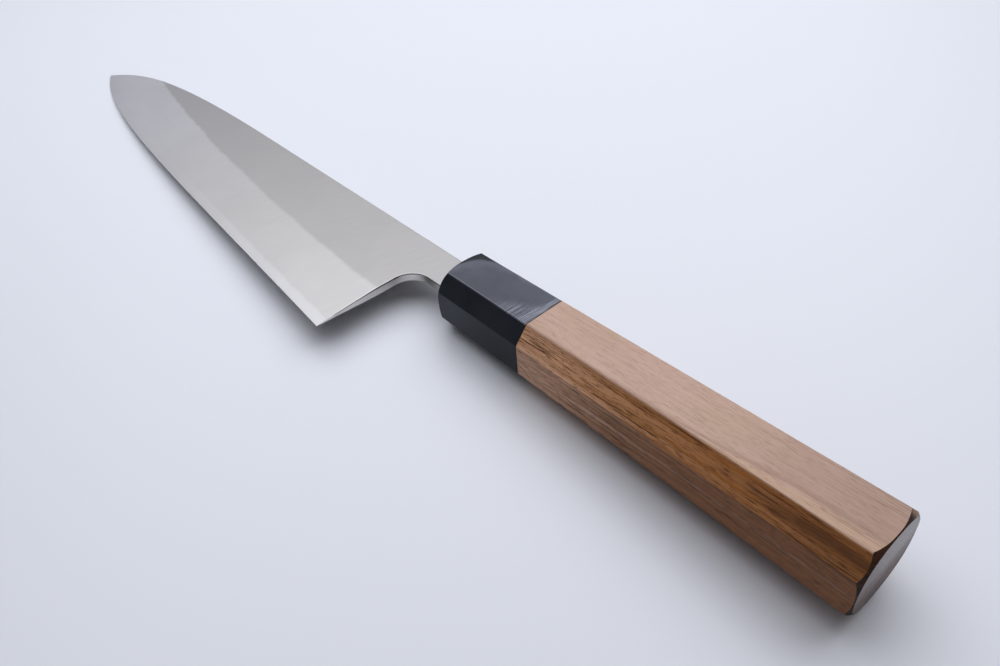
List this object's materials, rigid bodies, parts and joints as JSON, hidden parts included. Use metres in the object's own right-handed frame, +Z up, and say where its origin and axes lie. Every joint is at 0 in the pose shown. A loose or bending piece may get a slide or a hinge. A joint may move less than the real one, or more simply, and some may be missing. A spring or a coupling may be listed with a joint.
{
  "type": "gyuto knife",
  "caption": "Long chef's knife with a laminated steel blade, ground bevels and a curved choil, in a tapered octagonal walnut handle with a black horn ferrule.",
  "frame": {"origin": "on the table, under the middle of the knife's bounding box as it lies on its right side", "axes": "+X towards the tip, +Y towards the cutting edge, +Z up, out of the blade's left side; the blade leans 2.3 degrees down towards the tip"},
  "size_m": [0.3992, 0.056, 0.0273],
  "materials": {
    "core_steel": "finely honed, bright",
    "soft_steel": "satin, hazy grey",
    "buffalo_horn": "polished black horn",
    "walnut": "oiled, fine straight grain",
    "dowel_wood": "plain",
    "sealing_compound": "set compound"
  },
  "bodies": {
    "root": {"blade_core": "core_steel", "cladding_left": "soft_steel", "cladding_right": "soft_steel", "ferrule": "buffalo_horn", "handle_body": "walnut", "tang_dowel": "dowel_wood", "mouth_seal": "sealing_compound"}
  },
  "joints": []
}
